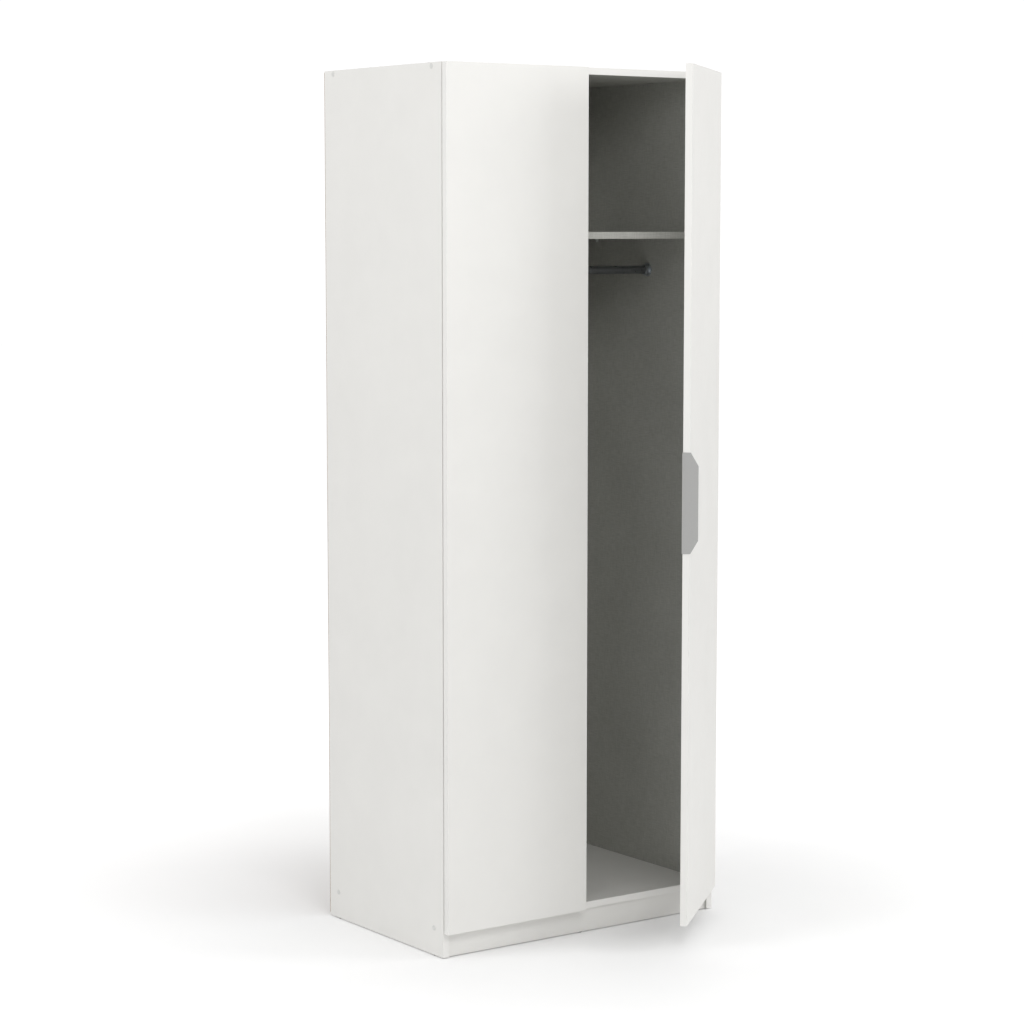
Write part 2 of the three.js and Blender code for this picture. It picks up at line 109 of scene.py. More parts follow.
# ---------- materials ----------
class Nodes:
    """A short way to write a material's node tree."""

    def __init__(self, name, roughness, metallic=0.0, specular=0.5):
        self.material = bpy.data.materials.new(name)
        self.material.use_nodes = True
        self.tree = self.material.node_tree
        self.shader = self.tree.nodes["Principled BSDF"]
        self.set(roughness=roughness, metallic=metallic, specular_ior_level=specular)
        self.place = self.add("ShaderNodeTexCoord").outputs["Object"]

    def set(self, **values):
        for name, value in values.items():
            socket = next(s for s in self.shader.inputs if s.name.lower().replace(" ", "_") == name)
            socket.default_value = value

    def add(self, kind, inputs=None, **settings):
        node = self.tree.nodes.new(kind)
        for name, value in settings.items():
            setattr(node, name, value)
        for name, value in (inputs or {}).items():
            if isinstance(value, bpy.types.NodeSocket):
                self.tree.links.new(value, node.inputs[name])
            else:
                node.inputs[name].default_value = value
        return node

    def drive(self, name, socket):
        self.tree.links.new(socket, self.shader.inputs[name])

    def math(self, operation, a, b=0.0):
        return self.add("ShaderNodeMath", {0: a, 1: b}, operation=operation).outputs[0]

    def stretched(self, scale):
        """The surface's own coordinates, scaled by one number for each axis."""
        return self.add("ShaderNodeMapping", {"Vector": self.place, "Scale": scale}).outputs[0]

    def noise(self, scale, detail=2.0, rough=0.5, place=None):
        """Cloudy values from 0 to 1, with scale features to the metre."""
        inputs = {"Vector": place or self.place, "Scale": scale, "Detail": detail, "Roughness": rough}
        return self.add("ShaderNodeTexNoise", inputs).outputs[0]

    def ramp(self, factor, low, high, start=0.3, end=0.7):
        """Between two colours, or two greys, as factor goes from start to end."""
        node = self.add("ShaderNodeValToRGB", {"Fac": factor})
        for element, place, value in zip(node.color_ramp.elements, (start, end), (low, high)):
            element.position = place
            element.color = (*value, 1) if hasattr(value, "__len__") else (value, value, value, 1)
        return node.outputs[0]

    def mix(self, factor, a, b, blend="MIX"):
        node = self.add("ShaderNodeMix", data_type="RGBA", blend_type=blend)
        for name, value in (("Factor_Float", factor), ("A_Color", a), ("B_Color", b)):
            socket = next(s for s in node.inputs if s.identifier == name)
            if isinstance(value, bpy.types.NodeSocket):
                self.tree.links.new(value, socket)
            else:
                socket.default_value = (*value, 1) if hasattr(value, "__len__") else value
        return next(s for s in node.outputs if s.identifier == "Result_Color")

    def bump(self, height, strength, distance):
        inputs = {"Height": height, "Strength": strength, "Distance": distance}
        self.drive("Normal", self.add("ShaderNodeBump", inputs).outputs[0])


def white_melamine(name, tint):
    """White foil with the faint cloudiness of the board beneath it, and a fine satin grain."""
    nodes = Nodes(name, 0.42, specular=0.45)
    cloud = nodes.noise(9, detail=4, rough=0.6)
    grain = nodes.noise(1400, detail=3, rough=0.6)
    shaded = [channel * 0.975 for channel in tint]
    nodes.drive("Base Color", nodes.ramp(cloud, shaded, tint))
    nodes.drive("Roughness", nodes.ramp(nodes.noise(60, detail=3), 0.38, 0.47))
    nodes.bump(grain, strength=0.12, distance=0.12 * MM)
    return nodes.material


def threads(nodes, axis, pitch=620, run=45):
    """Fine lines that cross one axis, as one set of threads in a cloth does."""
    scale = [run, run, run]
    scale[axis] = pitch
    return nodes.noise(1, rough=0.55, place=nodes.stretched(scale))


def linen_melamine(dark, light):
    """Grey foil printed and pressed with a linen weave, with both sets of threads along the face's edges."""
    nodes = Nodes("linen_melamine", 0.6, specular=0.35)
    normal = nodes.add("ShaderNodeTexCoord").outputs["Normal"]
    facing = nodes.add("ShaderNodeSeparateXYZ", {0: normal}).outputs
    weave = None
    for axis in range(3):
        across = nodes.math("SUBTRACT", 1.0, nodes.math("ABSOLUTE", facing[axis]))
        part = nodes.math("MULTIPLY", across, threads(nodes, axis))
        weave = part if weave is None else nodes.math("ADD", weave, part)
    weave = nodes.math("MULTIPLY", weave, 0.5)
    cloud = nodes.noise(5, detail=3)
    printed = nodes.ramp(weave, dark, light, 0.36, 0.64)
    nodes.drive("Base Color", nodes.mix(0.25, printed, nodes.ramp(cloud, dark, light)))
    nodes.drive("Roughness", nodes.ramp(weave, 0.68, 0.52))
    nodes.bump(weave, strength=0.5, distance=0.3 * MM)
    return nodes.material


def grey_lacquer(dark, light):
    """Silver-grey lacquer with a fine metallic speckle."""
    nodes = Nodes("grey_lacquer", 0.38, metallic=0.35)
    nodes.drive("Base Color", nodes.ramp(nodes.noise(2600), dark, light))
    nodes.drive("Roughness", nodes.ramp(nodes.noise(90, detail=3), 0.34, 0.44))
    nodes.bump(nodes.noise(2200), strength=0.15, distance=0.1 * MM)
    return nodes.material


def plated_metal(name, dark, light, roughness, grain=(40, 900, 900)):
    """Plated steel with drawing lines along its length. grain is how fine they are on each axis."""
    nodes = Nodes(name, roughness, metallic=1.0)
    lines = nodes.noise(1, detail=3, rough=0.6, place=nodes.stretched(grain))
    cloud = nodes.noise(30, detail=4)
    nodes.drive("Base Color", nodes.mix(0.5, nodes.ramp(lines, dark, light), nodes.ramp(cloud, dark, light)))
    nodes.drive("Roughness", nodes.ramp(nodes.noise(120, detail=3), roughness - 0.06, roughness + 0.08))
    nodes.bump(lines, strength=0.1, distance=0.1 * MM)
    return nodes.material


def moulded_plastic(name, dark, light, roughness, transmission=0.0):
    """Plastic with the dull grain of its mould."""
    nodes = Nodes(name, roughness)
    nodes.set(transmission_weight=transmission, ior=1.49)
    nodes.drive("Base Color", nodes.ramp(nodes.noise(160, detail=3), dark, light))
    nodes.drive("Roughness", nodes.ramp(nodes.noise(240), roughness - 0.05, roughness + 0.08))
    nodes.bump(nodes.noise(1800), strength=0.2, distance=0.1 * MM)
    return nodes.material


def chipboard():
    """The raw edge of a board: pale wood flakes with dark specks."""
    nodes = Nodes("chipboard", 0.85, specular=0.2)
    dark, light, speck = (0.30, 0.20, 0.11), (0.56, 0.43, 0.28), (0.16, 0.10, 0.06)
    flakes = nodes.noise(420, detail=4, rough=0.7)
    specks = nodes.ramp(nodes.noise(1500), 0.0, 0.5, 0.55, 0.7)
    nodes.drive("Base Color", nodes.mix(specks, nodes.ramp(flakes, dark, light, 0.35, 0.65), speck))
    nodes.drive("Roughness", nodes.ramp(flakes, 0.9, 0.75))
    nodes.bump(flakes, strength=0.7, distance=0.4 * MM)
    return nodes.material


def hardboard():
    """The unpainted rear of the back sheets: brown fibreboard pressed on a wire screen."""
    nodes = Nodes("hardboard", 0.75, specular=0.25)
    fibres = nodes.noise(1, detail=4, rough=0.65, place=nodes.stretched((260, 260, 60)))
    wires = {"pitch": 900, "run": 200}
    screen = nodes.math("MULTIPLY", threads(nodes, 0, **wires), threads(nodes, 2, **wires))
    streaks = nodes.ramp(fibres, (0.23, 0.145, 0.08), (0.36, 0.25, 0.15))
    cloud = nodes.ramp(nodes.noise(4, detail=3), (0.22, 0.14, 0.08), (0.36, 0.25, 0.16))
    nodes.drive("Base Color", nodes.mix(0.3, streaks, cloud))
    nodes.drive("Roughness", nodes.ramp(fibres, 0.8, 0.66))
    nodes.bump(screen, strength=0.6, distance=0.3 * MM)
    return nodes.material


def floor_finish():
    """Pale studio floor with a painted glow that only the camera sees: faint next to the wardrobe, it brightens
    the floor to white away from it.
    """
    nodes = Nodes("studio_floor", 0.7, specular=0.25)
    nodes.drive("Base Color", nodes.ramp(nodes.noise(3, detail=3), 0.87, 0.89))
    distance = nodes.add("ShaderNodeVectorMath", {0: nodes.place}, operation="LENGTH").outputs["Value"]
    rise = {"Value": distance, "From Min": 0.2, "From Max": 2.6, "To Min": 0.07, "To Max": 0.5}
    painted_glow = nodes.add("ShaderNodeMapRange", rise, interpolation_type="SMOOTHSTEP").outputs["Result"]
    # painted light: emission for camera rays alone, which lifts the floor's shading towards white
    seen = nodes.add("ShaderNodeLightPath").outputs["Is Camera Ray"]
    nodes.set(emission_color=(1, 1, 1, 1))
    nodes.drive("Emission Strength", nodes.math("MULTIPLY", painted_glow, seen))
    return nodes.material


WHITE = white_melamine("white_melamine", (0.83, 0.822, 0.795))
EDGE_BAND = white_melamine("white_edge_band", (0.845, 0.837, 0.812))
LINEN = linen_melamine((0.43, 0.435, 0.40), (0.59, 0.59, 0.555))
CHIPBOARD = chipboard()
HARDBOARD = hardboard()
GREY = grey_lacquer((0.40, 0.40, 0.393), (0.50, 0.50, 0.49))
RAIL_STEEL = plated_metal("rail_steel", (0.24, 0.25, 0.27), (0.30, 0.31, 0.33), 0.32)
# The brackets' steel is the rail's dark steel made lighter: painted sheen on their flanges and sockets.
BRACKET_STEEL_PAINTED_SHEEN = plated_metal("bracket_steel", (0.46, 0.49, 0.52), (0.60, 0.63, 0.66), 0.34)
NICKEL = plated_metal("nickel_plate", (0.55, 0.55, 0.54), (0.70, 0.70, 0.68), 0.28, (300, 300, 1200))
ZINC = plated_metal("zinc_plate", (0.42, 0.45, 0.48), (0.60, 0.62, 0.64), 0.36, (200, 900, 200))
WHITE_PLASTIC = moulded_plastic("white_plastic", (0.66, 0.66, 0.64), (0.72, 0.72, 0.70), 0.4)
CLEAR_PLASTIC = moulded_plastic("clear_plastic", (0.74, 0.76, 0.74), (0.82, 0.84, 0.82), 0.25, 0.15)
BLACK_PLASTIC = moulded_plastic("black_plastic", (0.02, 0.02, 0.022), (0.04, 0.04, 0.042), 0.55)

# The CAD's material slots, each with its look
LOOKS = {
    "white_melamine": WHITE,
    "linen_melamine": LINEN,
    "grey_handle": GREY,
    "dark_steel": RAIL_STEEL,
    "nickel_plate": NICKEL,
    "zinc_plate": ZINC,
    "white_plastic": WHITE_PLASTIC,
    "clear_plastic": CLEAR_PLASTIC,
    "black_plastic": BLACK_PLASTIC,
}
SLOTS = {look.name: slot for slot, look in LOOKS.items()}
# the brackets share the rail's dark steel slot; their lighter colour is painted sheen
SLOTS[BRACKET_STEEL_PAINTED_SHEEN.name] = "dark_steel"


# ---------- CAD nodes ----------
SHARP_ANGLE = 35               # degrees between faces, past which an edge is rounded
FLAT_FACE_WEIGHT = 80          # how much large faces count in the shading


def soften(obj, width, segments=2):
    """Rounds the sharp edges of an object that keeps its own mesh, in the object's first material."""
    weld = obj.modifiers.new("weld", "WELD")
    weld.merge_threshold = 0.01 * MM
    bevel = obj.modifiers.new("bevel", "BEVEL")
    bevel.width = width
    bevel.segments = segments
    bevel.limit_method = "ANGLE"
    bevel.angle_limit = math.radians(SHARP_ANGLE)
    bevel.use_clamp_overlap = True
    bevel.material = 0
    even = obj.modifiers.new("even_shading", "WEIGHTED_NORMAL")
    even.mode = "FACE_AREA"
    even.weight = FLAT_FACE_WEIGHT


LEFT, RIGHT = (-1, 0, 0), (1, 0, 0)
TOWARDS_FRONT, TOWARDS_BACK = (0, -1, 0), (0, 1, 0)
UP, DOWN = (0, 0, 1), (0, 0, -1)
BOARD_ENDS = [LEFT, RIGHT]
REST_OF_SHEET = [TOWARDS_BACK, LEFT, RIGHT, UP, DOWN]
DOOR_EDGES = [LEFT, RIGHT, UP, DOWN]
BOARD_FACES = {
    "side_panel_left": {LINEN: [RIGHT], EDGE_BAND: [TOWARDS_FRONT, UP], CHIPBOARD: [TOWARDS_BACK]},
    "side_panel_right": {LINEN: [LEFT], EDGE_BAND: [TOWARDS_FRONT, UP], CHIPBOARD: [TOWARDS_BACK]},
    "top_panel": {LINEN: [DOWN], EDGE_BAND: [TOWARDS_FRONT], CHIPBOARD: [TOWARDS_BACK, *BOARD_ENDS]},
    "bottom_panel": {EDGE_BAND: [TOWARDS_FRONT], CHIPBOARD: [TOWARDS_BACK, *BOARD_ENDS]},
    "plinth_front": {CHIPBOARD: [UP, *BOARD_ENDS]},
    "plinth_back": {CHIPBOARD: [UP, *BOARD_ENDS]},
    "hat_shelf": {CHIPBOARD: [TOWARDS_BACK, *BOARD_ENDS]},
    "back_sheet_left": {HARDBOARD: REST_OF_SHEET},
    "back_sheet_right": {HARDBOARD: REST_OF_SHEET},
    "door_left": {EDGE_BAND: DOOR_EDGES},
    "door_right": {EDGE_BAND: DOOR_EDGES},
}
SAME_WAY = 0.99                # cosine between a face's normal and a listed direction


def face_boards():
    """Puts each board's other finishes on the faces that look along the directions listed for it."""
    for name, finishes in BOARD_FACES.items():
        turn = Matrix.Identity(3)
        if name.startswith("door_"):
            turn = door_frame(name.removeprefix("door_")).inverted().to_3x3()
        mesh = frame["nodes"][name].data
        for index, (material, directions) in enumerate(finishes.items(), 1):
            mesh.materials.append(material)
            for face in mesh.polygons:
                normal = turn @ face.normal
                if any(normal.dot(Vector(direction)) > SAME_WAY for direction in directions):
                    face.material_index = index


BOARD_EDGE, SHEET_EDGE = 0.4 * MM, 0.2 * MM
SOFT_EDGES = {
    "grey_handle": 0.35 * MM,
    "dark_steel": 0.3 * MM,
    "nickel_plate": 0.25 * MM,
    "zinc_plate": 0.3 * MM,
    "white_plastic": 0.2 * MM,
    "clear_plastic": 0.3 * MM,
    "black_plastic": 0.25 * MM,
    "linen_melamine": 0.2 * MM,
}


def dress_cad_nodes():
    """Gives every CAD node its look and soft edges, without a change to its mesh."""
    slots = {part["node"]: part["material_slot"] for part in frame["record"]["subparts"]}
    for name, obj in frame["nodes"].items():
        mesh = obj.data
        mesh.materials.clear()
        mesh.materials.append(LOOKS[slots[name]])
        if name.startswith("back_sheet"):
            soften(obj, SHEET_EDGE, segments=1)
        elif name in BOARD_FACES:
            soften(obj, BOARD_EDGE, segments=3)
        else:
            soften(obj, SOFT_EDGES[slots[name]])
    face_boards()


# ---------- pieces in mesh code ----------
SAME_POINT = 1e-7


def add_piece(name, mesh, material, body, matrix=None, smooth_angle=40, stands_for=()):
    """Makes an object of a bmesh, put in place by matrix, that rides on body."""
    mesh.transform(matrix or Matrix.Identity(4))
    bmesh.ops.remove_doubles(mesh, verts=mesh.verts, dist=SAME_POINT)
    bmesh.ops.recalc_face_normals(mesh, faces=mesh.faces)
    data = bpy.data.meshes.new(name)
    mesh.to_mesh(data)
    mesh.free()
    data.shade_smooth()
    data.set_sharp_from_angle(angle=math.radians(smooth_angle))
    data.materials.append(material)
    obj = bpy.data.objects.new(name, data)
    bpy.context.scene.collection.objects.link(obj)
    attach(obj, body)
    if stands_for:
        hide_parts(*stands_for)


ALONG = {
    "+X": Matrix.Rotation(math.pi / 2, 4, "Y"),
    "-X": Matrix.Rotation(-math.pi / 2, 4, "Y"),
    "+Y": Matrix.Rotation(-math.pi / 2, 4, "X"),
    "-Y": Matrix.Rotation(math.pi / 2, 4, "X"),
    "+Z": Matrix.Identity(4),
    "-Z": Matrix.Rotation(math.pi, 4, "X"),
}


def at(place, direction="+Z"):
    """Puts something built from the origin up +Z at a place, heading in a direction."""
    return Matrix.Translation(place) @ ALONG[direction]


def directions_round(count):
    """Angles, evenly all the way round."""
    return [2 * math.pi * i / count for i in range(count)]


def circle(radius, count):
    return [(radius * math.cos(t), radius * math.sin(t)) for t in directions_round(count)]


def arc(centre, radius, start, end, steps=6):
    """Points of a round stretch in a profile, angles in degrees."""
    turns = [math.radians(start + (end - start) * i / steps) for i in range(steps + 1)]
    return [(centre[0] + radius * math.cos(t), centre[1] + radius * math.sin(t)) for t in turns]


def add_ring(mesh, outline, height, place):
    return [mesh.verts.new(place @ Vector((x, y, height))) for x, y in outline]


def join_rings(mesh, lower, upper):
    """Faces between two rings with as many points. A ring may be one point repeated."""
    for face in zip(lower, lower[1:] + lower[:1], upper[1:] + upper[:1], upper):
        corners = list(dict.fromkeys(face))
        if len(corners) > 2:
            mesh.faces.new(corners)


def lathe(mesh, profile, place, segments):
    """Turns (radius, height) points about Z. A closed outline starts and ends on the axis or on itself."""
    rings = []
    for radius, height in profile:
        if radius:
            rings.append(add_ring(mesh, circle(radius, segments), height, place))
        else:
            rings.append(add_ring(mesh, [(0, 0)], height, place) * segments)
    for lower, upper in zip(rings, rings[1:]):
        join_rings(mesh, lower, upper)


def plate(mesh, outline, hole, low, high, place):
    """A flat plate with one hole. The outline and the hole have the same number of points."""
    levels = ((outline, low), (outline, high), (hole, high), (hole, low))
    rings = [add_ring(mesh, points, height, place) for points, height in levels]
    for ring, following in zip(rings, rings[1:] + rings[:1]):
        join_rings(mesh, ring, following)


NEARLY_ZERO = 1e-9


def rounded_ray(angle, width, height, corner):
    """How far a rounded rectangle round the origin reaches in a direction."""
    c, s = abs(math.cos(angle)), abs(math.sin(angle))
    w, h = width / 2, height / 2
    reach = min(w / max(c, NEARLY_ZERO), h / max(s, NEARLY_ZERO))
    x, y = reach * c, reach * s
    if x > w - corner and y > h - corner:
        cx, cy = w - corner, h - corner
        along = c * cx + s * cy
        reach = along + math.sqrt(max(along ** 2 - cx ** 2 - cy ** 2 + corner ** 2, 0))
    return reach


# A screw head, as shares of its radius and its height
DOME = ((1, 0), (1, 0.35), (0.92, 0.75), (0.74, 1))     # (radius, height)
CROSS_ARM, CROSS_REACH = 0.16, 0.58                     # half an arm's width, and how far it reaches
CROSS_TAPER, CROSS_FLOOR = 0.6, 0.3                     # the recess's floor: its size, and its height
HEAD_SEGMENTS = 24


def cross_outline(arm, reach):
    corner = [(reach, -arm), (reach, arm), (arm, arm)]
    outline = []
    for _ in range(4):
        outline += corner
        corner = [(-y, x) for x, y in corner]
    return outline


def screw_head(mesh, place, radius, height):
    """A domed head with a tapered cross recess, its underside on the origin of place."""
    rings = [add_ring(mesh, circle(share * radius, HEAD_SEGMENTS), level * height, place)
             for share, level in DOME]
    for lower, upper in zip(rings, rings[1:]):
        join_rings(mesh, lower, upper)
    mesh.faces.new(rings[0][::-1])
    cross = cross_outline(CROSS_ARM * radius, CROSS_REACH * radius)
    mouth = add_ring(mesh, cross, height, place)
    floor_outline = [(CROSS_TAPER * x, CROSS_TAPER * y) for x, y in cross]
    floor = add_ring(mesh, floor_outline, CROSS_FLOOR * height, place)
    edges = []
    for ring in (rings[-1], mouth):
        for pair in zip(ring, ring[1:] + ring[:1]):
            edges.append(mesh.edges.get(pair) or mesh.edges.new(pair))
    bmesh.ops.triangle_fill(mesh, edges=edges, use_beauty=True)
    join_rings(mesh, mouth, floor)
    mesh.faces.new(floor)


def add_screws(name, places, size, material, body, matrix):
    """One piece with a screw head at each place."""
    mesh = bmesh.new()
    for place in places:
        screw_head(mesh, place, size["radius"], size["height"])
    add_piece(name, mesh, material, body, matrix, smooth_angle=35)


# ---------- connecting screws and their caps ----------
CAP_RADIUS, CAP_FLAT, CAP_RIM = 6.2 * MM, 3.72 * MM, 0.5 * MM
CAP_THICK, CAP_GAP = 0.8 * MM, 0.05 * MM
SCREW_NECK = {"radius": 4.9 * MM, "end": 2 * MM, "taper_end": 3.8 * MM}
THREAD = {"start": 4 * MM, "pitch": 2.6 * MM, "turns": 16, "root": 2.4 * MM, "crest": 3.4 * MM}
SCREW_POINT = {"radius": 1.2 * MM, "start": 48.5 * MM, "end": 49.5 * MM}


def connector_profile():
    """A domed cap that stands proud of the board, then the neck, the thread and the point inside it."""
    rim = arc((CAP_RADIUS - CAP_RIM, CAP_RIM - CAP_THICK), CAP_RIM, -90, 0, 4)
    profile = [(0, -CAP_THICK), (CAP_FLAT, -CAP_THICK), *rim, (CAP_RADIUS, -CAP_GAP),
               (SCREW_NECK["radius"], -CAP_GAP), (SCREW_NECK["radius"], SCREW_NECK["end"]),
               (THREAD["crest"], SCREW_NECK["taper_end"])]
    for turn in range(THREAD["turns"]):
        start = THREAD["start"] + turn * THREAD["pitch"]
        profile += [(THREAD["root"], start), (THREAD["crest"], start + 0.5 * THREAD["pitch"])]
    return [*profile, (SCREW_POINT["radius"], SCREW_POINT["start"]), (0, SCREW_POINT["end"])]


def add_corner_screw(side, end, level):
    """A threaded connector that heads from the side's outer face into the board."""
    name = f"{side}_{end}_{level}"
    centre = middle(f"corner_screw_{name}")
    low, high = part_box(f"side_panel_{side}")
    outer, heading = (high.x, "-X") if side == "right" else (low.x, "+X")
    mesh = bmesh.new()
    lathe(mesh, connector_profile(), at((outer, centre.y, centre.z), heading), 32)
    add_piece(f"cap_and_screw_{name}", mesh, WHITE_PLASTIC, "carcass", stands_for=[f"corner_screw_{name}"])


def add_corner_screws():
    for side in SIDES:
        for end in ENDS:
            for level in SCREW_LEVELS:
                add_corner_screw(side, end, level)


# ---------- glides ----------
GLIDE_TOP, GLIDE_RIM = 1.9 * MM, 1.2 * MM
GLIDE_DISH = {"radius": 3 * MM, "depth": 0.4 * MM}      # round the nail, on the underside
GLIDE_NAIL = {"radius": 1.2 * MM, "point": 1.5 * MM}


def add_glides():
    """Nailed plastic glides with a rounded rim."""
    for node in [name for name in frame["nodes"] if name.startswith("glide_")]:
        low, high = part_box(node)
        centre, radius = middle(node), (high.x - low.x) / 2
        dish, depth, nail = GLIDE_DISH["radius"], GLIDE_DISH["depth"], GLIDE_NAIL["radius"]
        rim = arc((radius - GLIDE_RIM, GLIDE_RIM), GLIDE_RIM, -90, 0)
        profile = [(0, depth), (dish, depth), (dish + depth, 0), *rim, (radius, GLIDE_TOP), (nail, GLIDE_TOP),
                   (nail, high.z - GLIDE_NAIL["point"]), (0, high.z)]
        mesh = bmesh.new()
        lathe(mesh, profile, at((centre.x, centre.y, 0)), 40)
        add_piece(node.replace("glide", "nail_glide"), mesh, BLACK_PLASTIC, "carcass", stands_for=[node])


# ---------- hanging rail ----------
RAIL_WALL, RAIL_CHAMFER = 1 * MM, 0.3 * MM
# The bracket's flange on the side panel, its screw hole, and the socket for the rail's end
FLANGE = {"thick": 2.4 * MM, "soft": 0.5 * MM, "hole": 2.3 * MM}
SOCKET = {"gap": 0.4 * MM, "wall": 1.9 * MM, "bead": 1.1 * MM}
RAIL_SCREW = {"radius": 4.2 * MM, "height": 1.4 * MM}


def add_rail():
    """A tube with its ends in two turned brackets."""
    low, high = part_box("hanging_rail")
    centre = middle("hanging_rail")
    radius, length = (high.z - low.z) / 2, high.x - low.x
    bore, rim = radius - RAIL_WALL, radius - RAIL_CHAMFER
    profile = [(bore, 0), (rim, 0), (radius, RAIL_CHAMFER), (radius, length - RAIL_CHAMFER), (rim, length),
               (bore, length), (bore, 0)]
    mesh = bmesh.new()
    lathe(mesh, profile, at((low.x, centre.y, centre.z), "+X"), 64)
    add_piece("rail_tube", mesh, RAIL_STEEL, "carcass", stands_for=["hanging_rail"])
    for name, side in SIDES.items():
        add_rail_bracket(name, side, centre, radius)


def add_rail_bracket(name, side, rail, rail_radius):
    """A round flange with a soft rim, and a turned socket with a bead at its mouth for the rail's end."""
    low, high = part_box("rail_bracket_right")
    reach, radius = high.x - low.x, (high.z - low.z) / 2
    thick, soft, hole, bead = FLANGE["thick"], FLANGE["soft"], FLANGE["hole"], SOCKET["bead"]
    seat = rail_radius + SOCKET["gap"]
    barrel = seat + SOCKET["wall"]
    flange_rim = arc((radius - soft, thick - soft), soft, 0, 90)
    inner_corner = arc((barrel + soft, thick + soft), soft, 270, 180)
    mouth = arc((seat + bead, reach - bead), bead, 0, 180)
    profile = [(hole, 0), (radius, 0), *flange_rim, *inner_corner, (barrel, reach - 2 * bead), *mouth,
               (seat, thick), (hole, thick), (hole, 0)]
    mesh = bmesh.new()
    lathe(mesh, profile, at((high.x, rail.y, rail.z), "-X"), 64)
    # the socket and flange take the lighter copy of the rail's steel, a painted sheen
    add_piece(f"rail_socket_{name}", mesh, BRACKET_STEEL_PAINTED_SHEEN, "carcass", mirror(side),
              stands_for=[f"rail_bracket_{name}"])
    screw = at((high.x - thick, rail.y, rail.z), "-X")
    add_screws(f"rail_screw_{name}", [screw], RAIL_SCREW, ZINC, "carcass", mirror(side))


# ---------- concealed hinges ----------
CUP_OFFSET = 21.5 * MM              # the door's hinged edge to the middle of the cup
CUP_RADIUS, CUP_WALL, CUP_BEND = 17.5 * MM, 1.2 * MM, 3.5 * MM
CUP_DEPTH = 11.5 * MM
CUP_FLANGE = {"width": 26 * MM, "height": 62 * MM, "corner": 7 * MM, "back": 2 * MM, "thick": 1.1 * MM}
FLANGE_GAP = 0.05 * MM              # from the door's face to the flange's underside
CUP_SCREW = {"x": -5 * MM, "z": 24 * MM, "radius": 3.6 * MM, "height": 1.2 * MM}
PLATE_SCREW = {"y": 24 * MM, "z": 16 * MM, "sheet": 2 * MM, "radius": 3.9 * MM, "height": 1.2 * MM}
ARM_SCREW = {"radius": 3.3 * MM, "height": 1.2 * MM}
ARM_SCREW_PLACES = (-20 * MM, -41.5 * MM)   # fixing and side adjustment, from the arm's rear end


def cup_profile():
    """A drawn bowl with a rounded floor."""
    inner, floor = CUP_RADIUS - CUP_WALL, CUP_DEPTH - CUP_WALL
    bend_centre = (inner - CUP_BEND, floor - CUP_BEND)
    inside = arc(bend_centre, CUP_BEND, 0, 90)
    outside = arc(bend_centre, CUP_BEND + CUP_WALL, 90, 0)
    return [(inner, 0), *inside, (0, floor), (0, CUP_DEPTH), *outside, (CUP_RADIUS, 0), (inner, 0)]


def flange_reach(angle):
    """From the cup's centre to the flange's outline, which is offset towards the door's middle."""
    c, s = math.cos(angle), math.sin(angle)
    width, height, corner = CUP_FLANGE["width"], CUP_FLANGE["height"], CUP_FLANGE["corner"]
    step = 0.05 * MM
    reach = CUP_RADIUS
    while reach < height:
        x, z = reach * c + CUP_FLANGE["back"], reach * s
        if math.hypot(x, z) > rounded_ray(math.atan2(z, x), width, height, corner):
            break
        reach += step
    return reach


def flange_outline(count):
    reaches = [(flange_reach(t), t) for t in directions_round(count)]
    return [(reach * math.cos(t), reach * math.sin(t)) for reach, t in reaches]


FLANGE_OUTLINE = flange_outline(112)


def add_hinge_cup(name, level, z):
    """A bowl with its rim run out into a flange with two screws."""
    high = door_box(name)[1]
    x, face = high.x - CUP_OFFSET, high.y
    place = at((x, face, z), "-Y")
    mesh = bmesh.new()
    lathe(mesh, cup_profile(), place, 56)
    bore = circle(CUP_RADIUS - CUP_WALL, len(FLANGE_OUTLINE))
    plate(mesh, FLANGE_OUTLINE, bore, -CUP_FLANGE["thick"], -FLANGE_GAP, place)
    add_piece(f"cup_{name}_{level}", mesh, NICKEL, f"door_{name}", door_frame(name),
              stands_for=[f"hinge_cup_{name}_{level}"])
    places = [at((x + CUP_SCREW["x"], face + CUP_FLANGE["thick"], z + up * CUP_SCREW["z"]), "+Y")
              for up in (-1, 1)]
    add_screws(f"cup_screws_{name}_{level}", places, CUP_SCREW, NICKEL, f"door_{name}", door_frame(name))


def add_hinge_screws(name, side, level, z):
    """The heads on the mounting plate, and the arm's own two screws."""
    low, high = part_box(f"hinge_plate_right_{level}")
    places = [at((high.x - PLATE_SCREW["sheet"], low.y + PLATE_SCREW["y"], z + up * PLATE_SCREW["z"]), "-X")
              for up in (-1, 1)]
    add_screws(f"plate_screws_{name}_{level}", places, PLATE_SCREW, NICKEL, "carcass", mirror(side))
    low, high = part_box(f"hinge_arm_right_{level}")
    places = [at((low.x, high.y + y, z), "-X") for y in ARM_SCREW_PLACES]
    add_screws(f"arm_screws_{name}_{level}", places, ARM_SCREW, ZINC, "carcass", mirror(side))


def add_hinges():
    for name, side in SIDES.items():
        for level in HINGE_LEVELS:
            z = middle(f"hinge_plate_right_{level}").z
            add_hinge_screws(name, side, level, z)
            add_hinge_cup(name, level, z)


# ---------- small fittings ----------
BUFFER = {"radius": 4 * MM, "thick": 1.75 * MM, "straight": 0.5 * MM, "dome": 1.2 * MM, "inset": 15 * MM}


